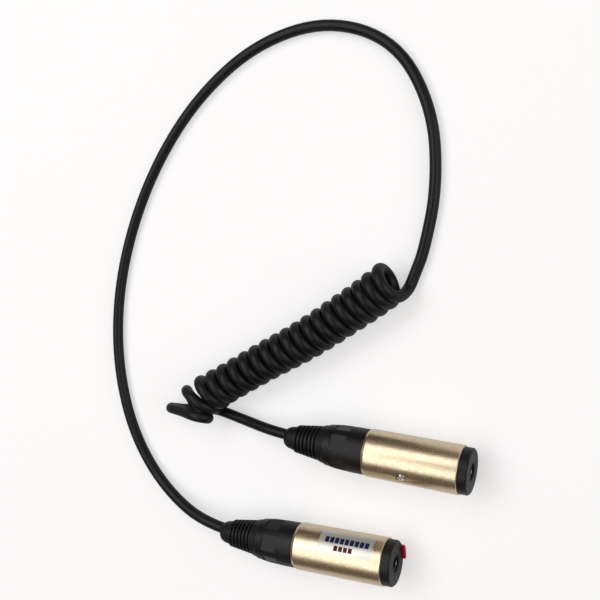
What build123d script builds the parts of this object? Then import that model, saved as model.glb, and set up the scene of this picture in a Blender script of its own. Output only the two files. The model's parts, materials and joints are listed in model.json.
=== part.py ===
"""Coiled adapter cable with a locking and a plain quarter-inch jack socket.

Frame: the cable lies on a table at Z = 0. +X runs out of the mouth of jack A, +Z is up,
and the origin is under the middle of the two jacks. Millimetres.
Each jack piece is drawn once along its own axis, with the front face at X = 0, the mouth
towards +X and the release key on top, and is then set down at each end of the cord.
"""
import os
from math import cos, pi, radians, sin, tan

from build123d import *

# ---- overall sizes of one jack -------------------------------------------------------
JACK_LENGTH = 82.5          # front face to the nose of the boot
SHELL_RADIUS = 10.0
SHELL_BORE = 8.6            # radius inside the metal shell
CAP_RADIUS = 9.5
CAP_BACK = -3.9             # where the cap meets the front of the shell
SHELL_BACK = -44.0          # where the shell meets the gland nut
NUT_BACK = -62.6            # where the gland nut meets the soft boot
BOOT_NOSE = -JACK_LENGTH
PLUG_BORE = 3.2             # radius of the ground bush, for a 6.35 mm plug
BUSH_RADIUS = 3.6
INSERT_BORE = 3.4           # radius of the insert behind the bush
FIT = 0.05                  # sliding clearance between loose pieces

# ---- lengths inside the jack -----------------------------------------------------------
SPIGOT_BACK = -6.9          # rear of the cap's spigot, against the insert
INSERT_RADIUS = 8.5
INSERT_WALL = -35.0         # end of the plug's bore
INSERT_BACK = -38.0
BUSH_BACK = -13.0
TAIL_END = -43.0            # solder tails of the contacts
STRIP = 0.4                 # thickness of the contact springs
STRIP_WIDTH = 3.0
CHANNEL_WIDTH = 3.6
STRAP_ANGLE = 45            # side of the jack that the ground strap runs along
STRAP_RADIUS = 6.7
SCREW_X = -26.6
SCREW_SHANK = 1.1
SCREW_HEAD = 1.9
SCREW_WELL = 2.25           # radius of the sunk hole round the screw's head
CHUCK_FRONT = -47.0
CHUCK_NOSE = -69.0
JAW_FRONT = -64.0           # the jaws grip the cord from here to the nose
CHUCK_RADIUS = 6.1

# ---- ribs of the boot ------------------------------------------------------------------
RIB_COUNT = 7
RIB_PITCH = 1.85
RIB_WIDTH = 1.15
FIRST_RIB = -77.0           # front of the rib nearest the nose

# ---- latch of jack A -------------------------------------------------------------------
TAB_PROUD = 1.3             # how far the tab stands out of the face
TAB_WIDTH = 6.4
TONGUE_WIDTH = 4.0
LEVER_WIDTH = 2.4
PIN_X = -16.0
PIN_Z = 6.6
PIN_RADIUS = 0.8

# ---- label on jack A's shell, as angles up from +Y -----------------------------------------
LABEL_FROM = 16.0
LABEL_MID = 46.0
LABEL_TO = 76.0
LABEL_FRONT = -8.0
LABEL_BACK = -32.0

# ---- cord ------------------------------------------------------------------------------
CORD = 5.0                  # diameter of the straight stretches
COIL_RADIUS = 9.4           # outer radius of the coiled stretch
COIL_START = (22.8, 97.6)
COIL_BEND = (-12.8, 71.2)
COIL_END = (-67.6, 38.9)

# ---- where the two jacks lie: face position, heading and roll ----------------------------
FACE_A = (26.65, -22.22, SHELL_RADIUS)
FACE_B = (56.35, 19.87, SHELL_RADIUS)
HEADING_B = -3.1
ROLL_A = -158.0
ROLL_B = 128.5
JACK_A = Pos(*FACE_A) * Rot(ROLL_A, 0, 0)
JACK_B = Pos(*FACE_B) * Rot(0, 0, HEADING_B) * Rot(ROLL_B, 0, 0)

# the lead, from the jaws of jack A round the big loop to the start of the coil
LEAD_ROUTE = [
    (FACE_A[0] + JAW_FRONT, FACE_A[1], SHELL_RADIUS),
    (-62.5, -22.3, 9.6),
    (-92.3, -10.0, 3.4),
    (-112.9, 14.3, 2.5),
    (-123.8, 46.0, 2.5),
    (-125.8, 80.0, 2.5),
    (-119.3, 114.5, 2.5),
    (-105.2, 148.0, 2.5),
    (-83.7, 177.5, 2.5),
    (-54.3, 199.7, 2.5),
    (-19.0, 207.7, 2.5),
    (13.6, 195.8, 2.5),
    (31.0, 166.4, 2.5),
    (34.3, 134.0, 2.5),
    (30.0, 107.5, 2.5),
    (22.6, 91.0, 3.2),
]

# the tail, from the jaws of jack B down to the table and under the last loose turns
TAIL_ROUTE = [
    (FACE_B[0] + JAW_FRONT * cos(radians(HEADING_B)),
     FACE_B[1] + JAW_FRONT * sin(radians(HEADING_B)), SHELL_RADIUS),
    (-30.0, 25.2, 9.9),
    (-52.0, 28.4, 3.5),
    (-66.0, 31.4, 2.5),
]


def meridian(angle):
    """Plane through the jack's axis: sketch x runs along the jack, y outwards at the angle."""
    across = (0, -sin(radians(angle)), cos(radians(angle)))
    return Plane(origin=(0, 0, 0), x_dir=(1, 0, 0), z_dir=across)


def save(piece, name, place=None):
    """Set a piece down at its place, give it its name and write it."""
    solid = piece.part if place is None else piece.part.moved(place)
    solid.label = name
    export_step(solid, f"parts/{name}.step")


# ---- jack pieces that both ends have -----------------------------------------------------
def make_shell():
    """Plated metal tube with a bevelled rear lip and a sunk hole for the screw."""
    with BuildPart() as shell:
        with BuildSketch(Plane.XZ):
            with BuildLine():
                Polyline(
                    (SHELL_BACK, SHELL_BORE), (SHELL_BACK, 9.6), (-42.9, SHELL_RADIUS),
                    (CAP_BACK - 0.25, SHELL_RADIUS), (CAP_BACK, 9.75), (CAP_BACK, SHELL_BORE),
                    close=True)
            make_face()
        revolve(axis=Axis.X)
        with Locations(Plane((SCREW_X, SHELL_RADIUS, 0), x_dir=(1, 0, 0), z_dir=(0, 1, 0))):
            CounterBoreHole(SCREW_SHANK + FIT, SCREW_WELL, 0.95, depth=3)
    return shell


def make_front_cap(has_tab):
    """Moulded front ring with its spigot; the locking jack's has a slot for the tab."""
    with BuildPart() as cap:
        with BuildSketch(Plane.XZ):
            with BuildLine():
                Polyline(
                    (SPIGOT_BACK, 7.2), (SPIGOT_BACK, SHELL_BORE - FIT), (CAP_BACK, SHELL_BORE - FIT),
                    (CAP_BACK, CAP_RADIUS), (-0.6, CAP_RADIUS), (0, 8.9),
                    (0, 3.85), (-0.4, INSERT_BORE), (-1.0, INSERT_BORE), (-1.0, BUSH_RADIUS),
                    (CAP_BACK, BUSH_RADIUS), (CAP_BACK, 7.2),
                    close=True)
            make_face()
        revolve(axis=Axis.X)
        if has_tab:
            with BuildSketch(Plane.YZ.offset(CAP_BACK)):
                with Locations((0, 9.25)):
                    Rectangle(TAB_WIDTH + 0.6, 4.0)
            extrude(amount=5, mode=Mode.SUBTRACT)
            with BuildSketch(Plane.YZ.offset(SPIGOT_BACK)):
                with Locations((0, 9.0)):
                    Rectangle(TONGUE_WIDTH + 0.6, 3.7)
            extrude(amount=5, mode=Mode.SUBTRACT)
    return cap


def make_insert(has_latch):
    """Moulded contact carrier: plug bore, contact channels and the latch's channel."""
    with BuildPart() as insert:
        with BuildSketch(Plane.XZ):
            with BuildLine():
                Polyline(
                    (CAP_BACK, BUSH_RADIUS), (CAP_BACK, 7.15), (SPIGOT_BACK, 7.15),
                    (SPIGOT_BACK, INSERT_RADIUS), (INSERT_BACK, INSERT_RADIUS),
                    (INSERT_BACK, 0), (INSERT_WALL, 0), (INSERT_WALL, INSERT_BORE),
                    (BUSH_BACK, INSERT_BORE), (BUSH_BACK, BUSH_RADIUS),
                    close=True)
            make_face()
        revolve(axis=Axis.X)
        # channels for the ring and tip contacts, and the tight slots behind them
        for angle in (180, 270):
            with BuildSketch(meridian(angle)):
                with Locations(((INSERT_WALL - 14.0) / 2, 3.6)):
                    Rectangle(-14.0 - INSERT_WALL, 7.2)
            extrude(amount=CHANNEL_WIDTH / 2, both=True, mode=Mode.SUBTRACT)
            with BuildSketch(meridian(angle)):
                with Locations(((INSERT_BACK + INSERT_WALL) / 2, 5.6)):
                    Rectangle(4.0, STRIP)
            extrude(amount=STRIP_WIDTH / 2, both=True, mode=Mode.SUBTRACT)
        # groove for the ground strap, open to the bush at its front
        with BuildSketch(meridian(STRAP_ANGLE)):
            with Locations(((INSERT_BACK - 12.2) / 2, 7.9)):
                Rectangle(-12.2 - INSERT_BACK, 3.0)
            with Locations((-12.5, 6.0)):
                Rectangle(0.6, 6.0)
        extrude(amount=1.15, both=True, mode=Mode.SUBTRACT)
        # pilot hole of the retaining screw
        with BuildSketch(Plane.XZ.offset(-INSERT_RADIUS)):
            with Locations((SCREW_X, 0)):
                Circle(SCREW_SHANK)
        extrude(amount=2.1, mode=Mode.SUBTRACT)
        if has_latch:
            with BuildSketch(meridian(90)):
                with Locations(((-6.5 - 33.0) / 2, 6.6)):
                    Rectangle(33.0 - 6.5, 4.4)
                with Locations(((-15.0 - 33.0) / 2, 3.0)):
                    Rectangle(18.0, 6.0)
            extrude(amount=1.5, both=True, mode=Mode.SUBTRACT)
            with BuildSketch(Plane.XZ.offset(-3.6)):
                with Locations((PIN_X, PIN_Z)):
                    Circle(PIN_RADIUS)
            extrude(amount=7.2, mode=Mode.SUBTRACT)
            with BuildSketch(Plane.XZ.offset(-3.4)):
                with Locations((PIN_X, 7.2)):
                    Rectangle(5.0, 4.6)
            extrude(amount=2.2, mode=Mode.SUBTRACT)
    return insert


def make_ground_contact():
    """Metal bush that takes the plug's sleeve, with its solder strap."""
    with BuildPart() as bush:
        with BuildSketch(Plane.XZ):
            with BuildLine():
                Polyline(
                    (BUSH_BACK, PLUG_BORE), (BUSH_BACK, BUSH_RADIUS), (-1.0, BUSH_RADIUS),
                    (-1.0, PLUG_BORE + 0.15), (-1.2, PLUG_BORE), close=True)
            make_face()
        revolve(axis=Axis.X)
        with BuildSketch(meridian(STRAP_ANGLE)):
            with Locations((-12.5, 5.2)):
                Rectangle(STRIP, 3.4)
            with Locations(((TAIL_END - 12.3) / 2, STRAP_RADIUS)):
                Rectangle(-12.3 - TAIL_END, STRIP)
        extrude(amount=1.1, both=True)
    return bush


def make_contact(angle, touch_x, touch_radius):
    """Bent leaf spring: a straight solder tail, a sloping arm and a rounded touch point."""
    half = STRIP / 2
    with BuildPart() as contact:
        with BuildSketch(meridian(angle)):
            with BuildLine():
                Polyline(
                    (TAIL_END, 5.6 - half), (INSERT_WALL + 0.6, 5.6 - half),
                    (touch_x - 1.0, touch_radius), (touch_x + 0.4, touch_radius),
                    (touch_x + 2.6, 4.6), (touch_x + 2.3, 4.95),
                    (touch_x + 0.2, touch_radius + STRIP), (touch_x - 0.8, touch_radius + STRIP),
                    (INSERT_WALL + 0.7, 5.6 + half), (TAIL_END, 5.6 + half), close=True)
            make_face()
        extrude(amount=STRIP_WIDTH / 2, both=True)
    return contact


def make_screw():
    """Small domed screw that holds the insert in the shell."""
    with BuildPart() as screw:
        with BuildSketch(Plane.XZ.offset(-6.5)):
            with Locations((SCREW_X, 0)):
                Circle(SCREW_SHANK)
        extrude(amount=-2.6)
        with BuildSketch(Plane.XZ.offset(-9.05)):
            with Locations((SCREW_X, 0)):
                Circle(SCREW_HEAD)
        extrude(amount=-1.1)
        fillet(screw.edges().filter_by(GeomType.CIRCLE).sort_by(Axis.Y)[-1], 0.7)
        with BuildSketch(Plane.XZ.offset(-10.2)):
            with Locations((SCREW_X, 0)):
                Rectangle(1.9, 0.4)
                Rectangle(0.4, 1.9)
        extrude(amount=0.5, mode=Mode.SUBTRACT)
    return screw


def make_gland_nut():
    """Hard threaded bushing with six finger recesses that closes on the chuck."""
    with BuildPart() as nut:
        with BuildSketch(Plane.XZ):
            with BuildLine():
                Polyline(
                    (-38.6, 7.2), (-38.6, SHELL_BORE - FIT), (SHELL_BACK, SHELL_BORE - FIT),
                    (SHELL_BACK, 9.3), (-44.4, 9.6), (-50.0, 9.6), (-57.0, 9.35), (-62.1, 8.65),
                    (NUT_BACK, 8.45), (NUT_BACK, 5.35), (-58.0, CHUCK_RADIUS + FIT),
                    (-46.0, CHUCK_RADIUS + FIT), (-46.0, 7.2), close=True)
            make_face()
        revolve(axis=Axis.X)
        for step in range(6):
            with BuildSketch(meridian(60 * step)):
                with Locations((-55.2, 9.7)):
                    Rectangle(7.2, 2.1)
            extrude(amount=3.5, both=True, mode=Mode.SUBTRACT)
    return nut


def boot_outline():
    """Outside of the soft boot as (x, radius) points: nose collar, ribs and cone."""
    points = [(BOOT_NOSE, 3.3), (BOOT_NOSE + 0.5, 3.9), (BOOT_NOSE + 2.0, 4.7), (FIRST_RIB - 0.8, 5.2)]
    for rib in range(RIB_COUNT):
        start = FIRST_RIB + rib * RIB_PITCH
        radius = 6.0 + 0.135 * rib * RIB_PITCH
        points += [(start, radius - 0.7), (start + 0.2, radius), (start + RIB_WIDTH, radius + 0.1),
                   (start + RIB_WIDTH + 0.2, radius - 0.6)]
    return points + [(-64.5, 7.95), (NUT_BACK, 8.25)]


def make_boot():
    """Soft ribbed bend protector around the cord, with room for the chuck's nose."""
    with BuildPart() as boot:
        with BuildSketch(Plane.XZ):
            with BuildLine():
                Polyline(
                    *boot_outline(), (NUT_BACK, 5.35), (CHUCK_NOSE, 4.9), (CHUCK_NOSE, CORD / 2),
                    (BOOT_NOSE, CORD / 2), close=True)
            make_face()
        revolve(axis=Axis.X)
    return boot


def make_chuck():
    """Slit collet that the gland nut squeezes onto the cord."""
    with BuildPart() as chuck:
        with BuildSketch(Plane.XZ):
            with BuildLine():
                Polyline(
                    (CHUCK_NOSE, CORD / 2), (CHUCK_NOSE, 4.6), (NUT_BACK, 5.3),
                    (-58.0, CHUCK_RADIUS), (CHUCK_FRONT, CHUCK_RADIUS), (CHUCK_FRONT, 3.8),
                    (JAW_FRONT, 3.8), (JAW_FRONT, CORD / 2), close=True)
            make_face()
        revolve(axis=Axis.X)
        for angle in (45, 135):
            with BuildSketch(meridian(angle)):
                with Locations((-61.0, 0)):
                    Rectangle(18.0, 20.0)
            extrude(amount=0.5, both=True, mode=Mode.SUBTRACT)
    return chuck


def make_wire(angle, end_radius):
    """Thin insulated wire from the cord's cut end to one solder tail."""
    with BuildPart() as wire:
        with BuildLine(meridian(angle)) as path:
            FilletPolyline(
                (JAW_FRONT + FIT, 1.2), (-57.0, 1.5), (CHUCK_FRONT, 2.5),
                (TAIL_END - 1.5, end_radius), (TAIL_END, end_radius), radius=(3.0, 3.0, 0.8))
        with BuildSketch(Plane(origin=path.line @ 0, z_dir=path.line % 0)):
            Circle(0.6)
        sweep()
    return wire


# ---- latch of jack A ---------------------------------------------------------------------
def make_release_tab():
    """Push tab in the cap's rim, with a tongue that rides on the latch lever."""
    with BuildPart() as tab:
        with BuildSketch(Plane.YZ.offset(-2.3)):
            with Locations((0, 8.7)):
                Rectangle(TAB_WIDTH, 2.3)
            Circle(9.4, mode=Mode.INTERSECT)
        extrude(amount=2.3 + TAB_PROUD)
        fillet(tab.edges().filter_by(Axis.X), 0.3)
        fillet(tab.faces().sort_by(Axis.X)[-1].edges(), 0.25)
        with BuildSketch(meridian(90)):
            with Locations(((-5.4 - 2.3) / 2, 7.8)):
                Rectangle(3.1, 0.7)
        extrude(amount=TONGUE_WIDTH / 2, both=True)
        with BuildSketch(meridian(90)):
            with Locations(((-9.4 - 5.4) / 2, 7.8)):
                Rectangle(4.0, 0.7)
        extrude(amount=1.2, both=True)
    return tab


def make_latch_lever():
    """Steel rocker: a ramp under the tab's tongue in front, a hook for the plug behind."""
    with BuildPart() as lever:
        with BuildSketch(meridian(90)):
            with BuildLine():
                Polyline(
                    (-9.0, 6.0), (-9.0, 6.7), (-12.0, 7.9), (-14.0, 8.0), (-17.5, 7.8),
                    (-21.0, 7.0), (-30.0, 6.4), (-30.0, 5.6), (-28.6, 5.4), (-28.4, 2.6),
                    (-27.4, 2.6), (-26.0, 5.0), (-18.0, 5.3), (-14.0, 5.3), close=True)
            make_face()
            with Locations((PIN_X, PIN_Z)):
                Circle(PIN_RADIUS + FIT, mode=Mode.SUBTRACT)
        extrude(amount=LEVER_WIDTH / 2, both=True)
    return lever


def make_lever_pin():
    """Axle of the latch lever."""
    with BuildPart() as pin:
        with BuildSketch(Plane.XZ.offset(-3.6)):
            with Locations((PIN_X, PIN_Z)):
                Circle(PIN_RADIUS)
        extrude(amount=7.2)
    return pin


def make_latch_spring():
    """Torsion spring round the pin, beside the lever."""
    turns_start = 1.7
    with BuildPart() as spring:
        with BuildLine() as coil:
            Helix(pitch=0.55, height=1.3, radius=1.2, center=(PIN_X, turns_start, PIN_Z),
                  direction=(0, 1, 0))
        with BuildSketch(Plane(origin=coil.line @ 0, z_dir=coil.line % 0)):
            Circle(0.18)
        sweep(is_frenet=True)
    return spring


def make_label():
    """Thin foil sticker on the upper side of jack A's shell."""
    with BuildPart() as label:
        with BuildSketch(Plane.YZ.offset(LABEL_BACK)):
            Circle(SHELL_RADIUS + 0.1)
            Circle(SHELL_RADIUS, mode=Mode.SUBTRACT)
            with BuildLine():
                Polyline(
                    (0, 0), (20 * cos(radians(LABEL_FROM)), 20 * sin(radians(LABEL_FROM))),
                    (20 * cos(radians(LABEL_MID)), 20 * sin(radians(LABEL_MID))),
                    (20 * cos(radians(LABEL_TO)), 20 * sin(radians(LABEL_TO))), close=True)
            make_face(mode=Mode.INTERSECT)
        extrude(amount=LABEL_FRONT - LABEL_BACK)
    return label


# ---- cord ------------------------------------------------------------------------------
def corner_radii(route):
    """The largest arcs that the runs leave room for, one for each inner point."""
    radii = []
    for before, here, after in zip(route, route[1:], route[2:]):
        run_in = Vector(*here) - Vector(*before)
        run_out = Vector(*after) - Vector(*here)
        turn = run_in.get_angle(run_out)
        radii.append(0.45 * min(run_in.length, run_out.length) / tan(radians(turn / 2)))
    return radii


def make_cord(route):
    """Plain round cord along straight runs joined by tangent arcs."""
    radii = corner_radii(route)
    print("bend radii", [round(radius, 1) for radius in radii])
    with BuildPart() as cord:
        with BuildLine() as path:
            FilletPolyline(*route, radius=radii)
        with BuildSketch(Plane(origin=path.line @ 0, z_dir=path.line % 0)):
            Circle(CORD / 2)
        sweep()
    length = sum(edge.length for edge in path.edges())
    share = cord.part.volume / (length * pi * CORD ** 2 / 4)
    print("cord length", round(length, 1), "volume over section times length", round(share, 4))
    return cord


def make_coil():
    """Outer shape of the tight turns: one fat rod with a slight bend in it."""
    route = [(*COIL_START, COIL_RADIUS), (*COIL_BEND, COIL_RADIUS), (*COIL_END, COIL_RADIUS)]
    with BuildPart() as coil:
        with BuildLine() as path:
            FilletPolyline(*route, radius=corner_radii(route))
        with BuildSketch(Plane(origin=path.line @ 0, z_dir=path.line % 0)):
            Circle(COIL_RADIUS)
        sweep()
    return coil


def make_loose_turns():
    """Outer shape of the last two turns, which open out and lie flatter."""
    heading = Vector(COIL_END[0] - COIL_BEND[0], COIL_END[1] - COIL_BEND[1], 0)
    with BuildPart() as turns:
        with BuildSketch(Plane((*COIL_END, COIL_RADIUS), x_dir=(0, 0, 1), z_dir=heading)):
            Circle(COIL_RADIUS)
        with BuildSketch(Plane((-74.6, 33.4, 9.0), x_dir=(0, 0, 1), z_dir=(-0.50, -0.87, 0))):
            Ellipse(9.0, 11.6)
        with BuildSketch(Plane((-77.7, 26.6, 8.8), x_dir=(0, 0, 1), z_dir=(-0.07, -1.0, 0))):
            Ellipse(8.8, 12.7)
        loft()
    return turns


def main():
    os.makedirs("parts", exist_ok=True)
    for side, place, locking in (("a", JACK_A, True), ("b", JACK_B, False)):
        save(make_shell(), f"shell_{side}", place)
        save(make_front_cap(locking), f"front_cap_{side}", place)
        save(make_insert(locking), f"contact_insert_{side}", place)
        save(make_ground_contact(), f"sleeve_contact_{side}", place)
        save(make_contact(180, -20.5, 2.8), f"ring_contact_{side}", place)
        save(make_contact(270, -27.5, 2.3), f"tip_contact_{side}", place)
        save(make_screw(), f"retaining_screw_{side}", place)
        save(make_gland_nut(), f"gland_nut_{side}", place)
        save(make_boot(), f"boot_{side}", place)
        save(make_chuck(), f"cord_chuck_{side}", place)
        save(make_wire(180, 4.75), f"ring_wire_{side}", place)
        save(make_wire(270, 4.75), f"tip_wire_{side}", place)
        save(make_wire(STRAP_ANGLE, STRAP_RADIUS - 0.85), f"screen_wire_{side}", place)
    save(make_release_tab(), "release_tab", JACK_A)
    save(make_latch_lever(), "latch_lever", JACK_A)
    save(make_lever_pin(), "lever_pin", JACK_A)
    save(make_latch_spring(), "latch_spring", JACK_A)
    save(make_label(), "label", Pos(*FACE_A))

    coil = make_coil()
    turns = make_loose_turns()
    lead = make_cord(LEAD_ROUTE)
    with BuildPart() as trimmed_lead:
        add(lead.part)
        add(coil.part, mode=Mode.SUBTRACT)
    tail = make_cord(TAIL_ROUTE)
    with BuildPart() as trimmed_tail:
        add(tail.part)
        add(turns.part, mode=Mode.SUBTRACT)
        add(coil.part, mode=Mode.SUBTRACT)
    save(coil, "coil")
    save(turns, "loose_turns")
    save(trimmed_lead, "lead")
    save(trimmed_tail, "tail")


main()
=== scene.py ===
"""Looks of the coiled jack extension cable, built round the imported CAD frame."""
import bpy, json, math
from mathutils import Matrix, Vector


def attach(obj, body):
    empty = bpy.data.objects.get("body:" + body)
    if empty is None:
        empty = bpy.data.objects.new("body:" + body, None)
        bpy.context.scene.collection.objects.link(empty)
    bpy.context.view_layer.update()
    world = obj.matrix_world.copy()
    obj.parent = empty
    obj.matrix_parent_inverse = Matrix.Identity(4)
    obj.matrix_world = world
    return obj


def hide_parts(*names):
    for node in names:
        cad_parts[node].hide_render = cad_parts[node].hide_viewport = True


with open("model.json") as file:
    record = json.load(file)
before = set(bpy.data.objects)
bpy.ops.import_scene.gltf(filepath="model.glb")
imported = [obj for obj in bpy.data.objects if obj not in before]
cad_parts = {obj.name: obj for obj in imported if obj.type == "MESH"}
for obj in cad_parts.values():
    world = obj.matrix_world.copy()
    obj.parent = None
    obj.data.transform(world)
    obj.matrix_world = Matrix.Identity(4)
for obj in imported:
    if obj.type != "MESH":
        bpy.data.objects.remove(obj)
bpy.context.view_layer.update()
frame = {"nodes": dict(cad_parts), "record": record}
nodes = frame["nodes"]

# ---- camera: the photograph's viewing angle --------------------------------------------
CAMERA_AT = Vector((0.13555, 0.09207, 0.3443))
CAMERA_LOOKS_AT = Vector((-0.02726, 0.08422, 0.0))
CAMERA_UP = Vector((-0.0482, 0.9988, 0.0))
CAMERA_LENS_MM = 51.0
CAMERA_SENSOR_MM = 36.0

camera_data = bpy.data.cameras.new("camera")
camera_data.lens = CAMERA_LENS_MM
camera_data.sensor_width = CAMERA_SENSOR_MM
camera_data.clip_start = 0.01
camera_data.clip_end = 50.0
camera = bpy.data.objects.new("camera", camera_data)
bpy.context.scene.collection.objects.link(camera)
forward = (CAMERA_LOOKS_AT - CAMERA_AT).normalized()
right = forward.cross(CAMERA_UP).normalized()
camera.matrix_world = Matrix.Translation(CAMERA_AT) @ Matrix(
    (right, right.cross(forward), -forward)).transposed().to_4x4()
bpy.context.scene.camera = camera

# ---- cord: one line from jack A round the loop, through the coil, to jack B -------------
CORD = 0.005               # diameter of the straight stretches

# thickness of the wound turns and of the tail, as multiples of the straight stretches'
COIL_SWELL = 1.12
TAIL_SWELL = 0.95
SWELL_FROM_TURN = 0.7
SWELL_TO_TURN = 19.3
SWELL_OVER_TURNS = 1.8     # the thickness comes and goes over this many turns

# control points of the lead, from jack A round the big loop to the coil
LEAD_ROUTE = [
    (-0.03735, -0.02222, 0.010), (-0.0625, -0.0223, 0.0096), (-0.0923, -0.0100, 0.0034),
    (-0.1129, 0.0143, 0.0025), (-0.1238, 0.046, 0.0025), (-0.1258, 0.080, 0.0025),
    (-0.1193, 0.1145, 0.0025), (-0.1052, 0.148, 0.0025), (-0.0837, 0.1775, 0.0025),
    (-0.0543, 0.1997, 0.0025), (-0.019, 0.2077, 0.0025), (0.0136, 0.1958, 0.0025),
    (0.0310, 0.1664, 0.0025), (0.0343, 0.134, 0.0025), (0.030, 0.1075, 0.0025),
    (0.0268, 0.0985, 0.0025), (0.0245, 0.0916, 0.0028),
]
# the coil at some of its turns: turn, middle x, y and height, heading in degrees, radius across
# and up, and how far the top of the turn leans along the heading
COIL = [
    (0, 0.0226, 0.0974, 0.0096, -154, 0.0074, 0.0069, 0.0016),
    (1, 0.0184, 0.0938, 0.0096, -153, 0.0073, 0.0069, 0.0017),
    (2, 0.0138, 0.0903, 0.0096, -148, 0.0069, 0.0068, 0.0009),
    (3, 0.0094, 0.0869, 0.0095, -145, 0.0067, 0.0067, 0.0003),
    (5, 0.0004, 0.0806, 0.0094, -145, 0.0066, 0.0066, 0.0),
    (9, -0.0189, 0.0677, 0.0092, -147, 0.0064, 0.0064, 0.0),
    (13, -0.0391, 0.0561, 0.0091, -149, 0.0062, 0.0062, 0.0),
    (17, -0.0603, 0.0434, 0.0090, -146, 0.0063, 0.0061, 0.0),
    (18, -0.0652, 0.0404, 0.0092, -140, 0.0070, 0.0062, 0.0),
    (19, -0.0700, 0.0368, 0.0100, -129, 0.0075, 0.0062, 0.0),
    (20, -0.0770, 0.0325, 0.0100, -115, 0.0080, 0.0060, 0.0),
]
TURN_POINTS = 12           # control points in a turn
FIRST_STEP = 9             # control points skipped at the start, where the lead comes in
LAST_STEP = 19 * TURN_POINTS + 4
TURN_STARTS_AT = 80        # degrees round the turn, from its side towards its top

# control points of the turns pulled open at the coil's lower end
LOOSE_TURNS = [
    (-0.0776, 0.0366, 0.0080), (-0.0765, 0.0343, 0.0074), (-0.0746, 0.0322, 0.0077),
    (-0.0720, 0.0302, 0.0079), (-0.0694, 0.0286, 0.0081), (-0.0671, 0.0280, 0.0088),
    (-0.0658, 0.0282, 0.0112), (-0.0663, 0.0287, 0.0138), (-0.0686, 0.0291, 0.0152),
    (-0.0716, 0.0294, 0.0150), (-0.0750, 0.0298, 0.0138), (-0.0786, 0.0302, 0.0124),
    (-0.0822, 0.0304, 0.0111), (-0.0856, 0.0305, 0.0098), (-0.0883, 0.0304, 0.0079),
    (-0.0894, 0.0300, 0.0052), (-0.0880, 0.0296, 0.0029), (-0.0848, 0.0295, 0.0025),
    (-0.0812, 0.0299, 0.0025), (-0.0768, 0.0305, 0.0025), (-0.0720, 0.0310, 0.0025),
]
# control points of the tail, from under the loose turns to jack B
TAIL_ROUTE = [
    (-0.066, 0.0314, 0.0025), (-0.052, 0.0284, 0.0035), (-0.030, 0.0252, 0.0099),
    (-0.00756, 0.02333, 0.010),
]


def coil_at(turn):
    """The coil's middle, heading, radii and lean at a turn, on smooth curves through COIL."""
    for here, after in zip(COIL, COIL[1:]):
        if turn <= after[0]:
            break
    at = COIL.index(here)
    before = COIL[max(at - 1, 0)]
    beyond = COIL[min(at + 2, len(COIL) - 1)]
    span = after[0] - here[0]
    t = (turn - here[0]) / span
    out = []
    for k in range(1, len(here)):
        slope_in = span * (after[k] - before[k]) / (after[0] - before[0])
        slope_out = span * (beyond[k] - here[k]) / (beyond[0] - here[0])
        out.append((2 * t**3 - 3 * t**2 + 1) * here[k] + (t**3 - 2 * t**2 + t) * slope_in
                   + (3 * t**2 - 2 * t**3) * after[k] + (t**3 - t**2) * slope_out)
    return out


def coil_points():
    """The coil's turns as control points; a quadratic spline runs a little inside its points."""
    points = []
    inside = math.cos(math.pi / TURN_POINTS)
    for step in range(FIRST_STEP, LAST_STEP):
        turn = step / TURN_POINTS
        x, y, z, heading, across, up, lean = coil_at(turn)
        along = Vector((math.cos(math.radians(heading)), math.sin(math.radians(heading)), 0))
        side = Vector((-along.y, along.x, 0))
        angle = 2 * math.pi * turn + math.radians(TURN_STARTS_AT)
        points.append(Vector((x, y, z)) + across / inside * math.cos(angle) * side
                      + up / inside * math.sin(angle) * Vector((0, 0, 1))
                      + lean * math.sin(angle) * along)
    return points


def swell(at):
    """The cord's thickness at a control point, as a multiple of the straight stretches'."""
    if at < coil_from:
        return 1.0
    if at >= coil_to:
        return TAIL_SWELL
    turn = (FIRST_STEP + at - coil_from) / TURN_POINTS
    coming = (turn - SWELL_FROM_TURN) / SWELL_OVER_TURNS
    going = max((SWELL_TO_TURN - turn) / SWELL_OVER_TURNS, 0.0)
    return 1.0 + (COIL_SWELL - 1.0) * min(coming, going, 1.0)


cord_points = [Vector(p) for p in LEAD_ROUTE]
coil_from = len(cord_points)
cord_points += coil_points()
cord_points += [Vector(p) for p in LOOSE_TURNS]
coil_to = len(cord_points)
cord_points += [Vector(p) for p in TAIL_ROUTE]

line = bpy.data.curves.new("cord", "CURVE")
line.dimensions = "3D"
spline = line.splines.new("NURBS")
spline.points.add(len(cord_points) - 1)
for at, (point, place) in enumerate(zip(spline.points, cord_points)):
    point.co = (*place, 1.0)
    point.radius = CORD / 2 * swell(at)
spline.order_u = 3
spline.use_endpoint_u = True
spline.resolution_u = 8
line.bevel_depth = 1.0     # so that the points' radii are in metres
line.bevel_resolution = 10
line.use_fill_caps = True
cord = bpy.data.objects.new("cord", line)
bpy.context.scene.collection.objects.link(cord)
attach(cord, "cable")
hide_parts("lead", "coil", "loose_turns", "tail")


# ---- materials -------------------------------------------------------------------------
CLOUD_BAND = (0.35, 0.65)          # the part of each noise's range that is spread from 0 to 1
GRAIN_BAND = (0.3, 0.7)
SPECKLE_BAND = (0.55, 0.75)
SPECKLE_SHADE = 0.6                # brightness of a speckle against the colour around it
GRAIN_DEPTH = 0.3                  # height of the grain as a share of its width
SCRATCH_SCALE = 260
SCRATCH_STRETCH = (0.12, 1.0, 2.3)
SCRATCH_BAND = (0.66, 0.69)
SCRATCH_GAIN = 1.5                 # a scratch is brighter than the colour by this factor
SCRATCH_LIFT = 0.05                # and by this much more

JACK_A_Y = -0.02222                # jack A lies along X, with its axis at this y and height
JACK_A_Z = 0.010
BLOCK_FILL = 0.8                   # share of each printed block that is ink
PRINT_ROUGHNESS = 0.2              # added to the foil's roughness under the ink
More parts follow.
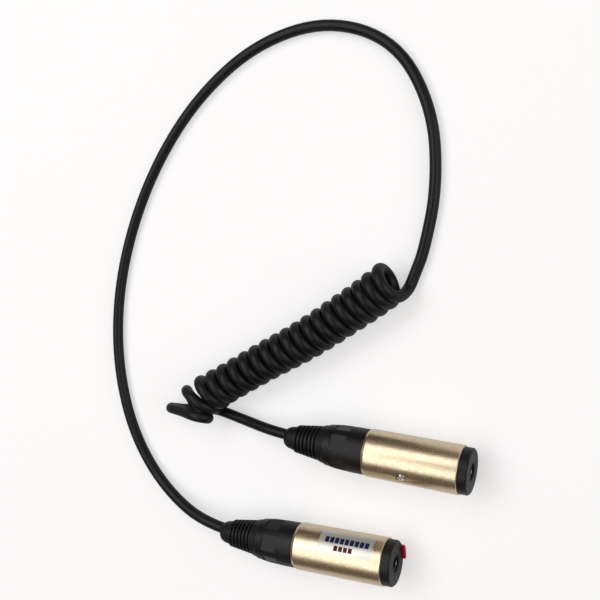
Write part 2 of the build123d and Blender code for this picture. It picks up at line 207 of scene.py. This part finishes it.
# each printed bar: from and to along the jack, from and to in degrees round it, one block, its ink
LABEL_BARS = [
    (-0.0026, 0.0173, 36, 51, 0.00222, (0.012, 0.02, 0.10)),
    (0.0020, 0.0106, 57, 69, 0.00216, (0.10, 0.008, 0.012)),
]


def node_of(material, kind, inputs=None, **settings):
    """A shader node with its settings, and with its inputs set to values or linked to sockets."""
    node = material.node_tree.nodes.new(kind)
    for name, value in settings.items():
        setattr(node, name, value)
    for name, value in (inputs or {}).items():
        socket = node.inputs[name]
        if isinstance(value, bpy.types.NodeSocket):
            material.node_tree.links.new(value, socket)
        else:
            socket.default_value = value
    return node


def noise(material, place, scale, detail=3.0, stretch=(1, 1, 1)):
    """Noise in the object's own space, stretched along its axes; 0 to 1 with its middle at 0.5."""
    scaled = node_of(material, "ShaderNodeMapping", {"Vector": place, "Scale": stretch})
    inputs = {"Vector": scaled.outputs["Vector"], "Scale": scale, "Detail": detail}
    return node_of(material, "ShaderNodeTexNoise", inputs).outputs["Fac"]


def ramp(material, value, low, high, to_low=0.0, to_high=1.0):
    """A value mapped from one range to another, and held at the ends."""
    inputs = {"Value": value, "From Min": low, "From Max": high,
              "To Min": to_low, "To Max": to_high}
    return node_of(material, "ShaderNodeMapRange", inputs).outputs["Result"]


def blend(material, amount, below, above):
    """Two colours mixed; each is a colour or a socket."""
    mix = node_of(material, "ShaderNodeMix", data_type="RGBA")
    for socket, value in ((mix.inputs[0], amount), (mix.inputs[6], below), (mix.inputs[7], above)):
        if isinstance(value, bpy.types.NodeSocket):
            material.node_tree.links.new(value, socket)
        else:
            socket.default_value = (*value, 1.0)
    return mix.outputs[2]


def surface(name, colour, tint, gloss, metallic=0.0, shine=0.5, cloud=70, grain=1500,
            relief=0.15, speckle=0.3, stretch=(1, 1, 1), marks=None, scratches=0.0):
    """A finish with colour clouded between colour and tint, roughness between the two in gloss,
    fine grain in relief, darker speckle in the grain, sparse scratches, and marks: a function
    that prints over the colour."""
    material = bpy.data.materials.new(name)
    material.use_nodes = True
    tree = material.node_tree
    shader = tree.nodes["Principled BSDF"]
    shader.inputs["Metallic"].default_value = metallic
    shader.inputs["Specular IOR Level"].default_value = shine
    place = node_of(material, "ShaderNodeTexCoord").outputs["Object"]
    clouds = noise(material, place, cloud, 4.0)
    fine = noise(material, place, grain, 3.0, stretch)
    shade = blend(material, ramp(material, clouds, *CLOUD_BAND), colour, tint)
    shade = blend(material, ramp(material, fine, *SPECKLE_BAND, 0.0, speckle), shade,
                  tuple(SPECKLE_SHADE * part for part in colour))
    grains = ramp(material, fine, *GRAIN_BAND)
    rough = node_of(material, "ShaderNodeMath", {0: clouds, 1: grains}, operation="ADD").outputs[0]
    rough = ramp(material, rough, 0.5, 1.5, *gloss)
    if scratches:
        hairs = noise(material, place, SCRATCH_SCALE, 2.0, SCRATCH_STRETCH)
        hair = ramp(material, hairs, *SCRATCH_BAND, 0.0, scratches)
        bright = tuple(min(1.0, SCRATCH_GAIN * part + SCRATCH_LIFT) for part in tint)
        shade = blend(material, hair, shade, bright)
    if marks:
        shade, rough = marks(material, place, shade, rough)
    tree.links.new(shade, shader.inputs["Base Color"])
    tree.links.new(rough, shader.inputs["Roughness"])
    bump = node_of(material, "ShaderNodeBump", {
        "Height": fine, "Strength": relief, "Distance": GRAIN_DEPTH / grain})
    tree.links.new(bump.outputs["Normal"], shader.inputs["Normal"])
    return material


def label_marks(material, place, shade, rough):
    """Bars of plain blocks printed on the label, whose own space is the frame's."""
    parts = node_of(material, "ShaderNodeSeparateXYZ", {"Vector": place}).outputs

    def maths(operation, first, second=0.0):
        inputs = {0: first, 1: second}
        return node_of(material, "ShaderNodeMath", inputs, operation=operation).outputs[0]

    above_axis = maths("SUBTRACT", parts["Z"], JACK_A_Z)
    beside_axis = maths("SUBTRACT", parts["Y"], JACK_A_Y)
    angle = maths("ARCTAN2", above_axis, beside_axis)
    for start, end, low, high, block, ink in LABEL_BARS:
        step = maths("DIVIDE", maths("SUBTRACT", parts["X"], start), block)
        inside = maths("MULTIPLY", maths("GREATER_THAN", parts["X"], start),
                       maths("LESS_THAN", parts["X"], end))
        band = maths("MULTIPLY", maths("GREATER_THAN", angle, math.radians(low)),
                     maths("LESS_THAN", angle, math.radians(high)))
        block_here = maths("LESS_THAN", maths("FRACT", step), BLOCK_FILL)
        print_here = maths("MULTIPLY", maths("MULTIPLY", inside, band), block_here)
        shade = blend(material, print_here, shade, ink)
        rough = maths("ADD", rough, maths("MULTIPLY", print_here, PRINT_ROUGHNESS))
    return shade, rough


TURNED = (3.0, 0.35, 0.35)         # stretch of the grain on turned metal
DRAWN = (0.3, 3.0, 3.0)            # and on drawn wire
FINISHES = {
    "champagne_metal": dict(
        colour=(0.86, 0.73, 0.52), tint=(0.80, 0.65, 0.44), gloss=(0.24, 0.42), metallic=1.0,
        cloud=500, grain=3200, relief=0.12, speckle=0.05, stretch=(1.2, 0.7, 0.7), scratches=0.12),
    "black_moulding": dict(
        colour=(0.006, 0.006, 0.007), tint=(0.009, 0.009, 0.010), gloss=(0.36, 0.48), shine=0.32,
        grain=4500, relief=0.10, scratches=0.08),
    "black_rubber": dict(
        colour=(0.005, 0.005, 0.007), tint=(0.009, 0.009, 0.013), gloss=(0.42, 0.58), shine=0.30,
        cloud=110, grain=3200, relief=0.16),
    "cord_jacket": dict(
        colour=(0.004, 0.004, 0.006), tint=(0.008, 0.008, 0.011), gloss=(0.36, 0.50), shine=0.30,
        cloud=90, grain=3600, relief=0.10, scratches=0.06),
    "insert_moulding": dict(
        colour=(0.014, 0.014, 0.016), tint=(0.026, 0.026, 0.028), gloss=(0.45, 0.6)),
    "chuck_moulding": dict(
        colour=(0.60, 0.59, 0.55), tint=(0.52, 0.50, 0.46), gloss=(0.40, 0.55)),
    # contact metal: colour darkened well below plated contacts' own, as painted shade for the
    # inside of the jacks' holes
    "contact_metal": dict(
        colour=(0.24, 0.23, 0.21), tint=(0.18, 0.17, 0.15), gloss=(0.20, 0.34), metallic=1.0,
        stretch=TURNED),
    "screw_metal": dict(
        colour=(0.74, 0.75, 0.78), tint=(0.60, 0.61, 0.65), gloss=(0.14, 0.26), metallic=1.0,
        grain=3500, relief=0.08),
    "latch_steel": dict(
        colour=(0.55, 0.55, 0.56), tint=(0.46, 0.45, 0.44), gloss=(0.25, 0.42), metallic=1.0,
        stretch=TURNED),
    "red_plastic": dict(
        colour=(0.55, 0.010, 0.040), tint=(0.46, 0.008, 0.03), gloss=(0.22, 0.34), grain=2500,
        relief=0.04, speckle=0.1),
    "label_foil": dict(
        colour=(0.80, 0.79, 0.73), tint=(0.73, 0.74, 0.71), gloss=(0.28, 0.38), metallic=0.55,
        cloud=45, grain=900, relief=0.03, speckle=0.05, marks=label_marks),
    "wire_red": dict(
        colour=(0.48, 0.03, 0.03), tint=(0.40, 0.02, 0.02), gloss=(0.30, 0.42)),
    "wire_white": dict(
        colour=(0.74, 0.74, 0.72), tint=(0.66, 0.65, 0.62), gloss=(0.30, 0.42)),
    "wire_copper": dict(
        colour=(0.72, 0.42, 0.25), tint=(0.58, 0.32, 0.18), gloss=(0.25, 0.40), metallic=1.0,
        stretch=DRAWN),
}
finishes = {slot: surface(slot, **look) for slot, look in FINISHES.items()}
slot_of = {row["node"]: row["material_slot"] for row in frame["record"]["subparts"]}
for name, node in nodes.items():
    for at in range(len(node.material_slots)):
        node.material_slots[at].link = "OBJECT"
        node.material_slots[at].material = finishes[slot_of[name]]
cord.data.materials.append(finishes["cord_jacket"])

# ---- stage -----------------------------------------------------------------------------
FLOOR_HALF = 4                     # the floor reaches this far each way
# the paper's own glow to the camera, and in reflections, which keeps the metal's edges darker
GLOW_SEEN = 0.52
GLOW_REFLECTED = 0.18
PAPER_COLOUR = (0.62, 0.62, 0.63, 1.0)
LIT_MIDDLE = Vector((-0.03, 0.08, 0.0))
# the room is dim and warm in the metal's reflections, and plain white where it is seen itself
ROOM_COLOUR = (1.0, 0.75, 0.52, 1.0)
ROOM_LIGHT = 0.09
SEEN_COLOUR = (0.96, 0.96, 0.96, 1.0)

floor_corners = [(-FLOOR_HALF, -FLOOR_HALF, 0), (FLOOR_HALF, -FLOOR_HALF, 0),
                 (FLOOR_HALF, FLOOR_HALF, 0), (-FLOOR_HALF, FLOOR_HALF, 0)]
floor_mesh = bpy.data.meshes.new("floor")
floor_mesh.from_pydata(floor_corners, [], [(0, 1, 2, 3)])
floor = bpy.data.objects.new("floor", floor_mesh)
bpy.context.scene.collection.objects.link(floor)
paper = bpy.data.materials.new("floor_paper")
paper.use_nodes = True
paper_shader = paper.node_tree.nodes["Principled BSDF"]
paper_shader.inputs["Base Color"].default_value = PAPER_COLOUR
paper_shader.inputs["Roughness"].default_value = 0.9
paper_shader.inputs["Emission Color"].default_value = (1.0, 1.0, 1.0, 1.0)
paper_path = node_of(paper, "ShaderNodeLightPath").outputs["Is Camera Ray"]
paper_glow = ramp(paper, paper_path, 0.0, 1.0, GLOW_REFLECTED, GLOW_SEEN)
paper.node_tree.links.new(paper_glow, paper_shader.inputs["Emission Strength"])
floor.data.materials.append(paper)


def soft_box(name, towards, distance, size, power):
    """A rectangular studio light that faces the middle of the object from a direction."""
    data = bpy.data.lights.new(name, "AREA")
    data.shape = "RECTANGLE"
    data.size, data.size_y = size
    data.energy = power
    light = bpy.data.objects.new(name, data)
    light.location = LIT_MIDDLE + distance * Vector(towards).normalized()
    light.rotation_mode = "QUATERNION"
    light.rotation_quaternion = (LIT_MIDDLE - light.location).to_track_quat("-Z", "Y")
    bpy.context.scene.collection.objects.link(light)


soft_box("key", (-0.36, 0.45, 0.82), 1.3, (1.4, 0.62), 5.6)
soft_box("top", (-0.36, -0.19, 0.91), 1.3, (1.4, 0.58), 5.2)
soft_box("side", (0.80, 0.10, 0.60), 1.6, (1.2, 1.2), 9.0)
world = bpy.data.worlds.new("world")
world.use_nodes = True
room = world.node_tree.nodes["Background"]
room.inputs["Color"].default_value = ROOM_COLOUR
room.inputs["Strength"].default_value = ROOM_LIGHT
seen = node_of(world, "ShaderNodeBackground", {"Color": SEEN_COLOUR, "Strength": 1.0})
path = node_of(world, "ShaderNodeLightPath")
both = node_of(world, "ShaderNodeMixShader", {
    0: path.outputs["Is Camera Ray"], 1: room.outputs[0], 2: seen.outputs[0]})
world.node_tree.links.new(both.outputs[0], world.node_tree.nodes["World Output"].inputs["Surface"])
bpy.context.scene.world = world
bpy.context.scene.view_settings.view_transform = "Standard"
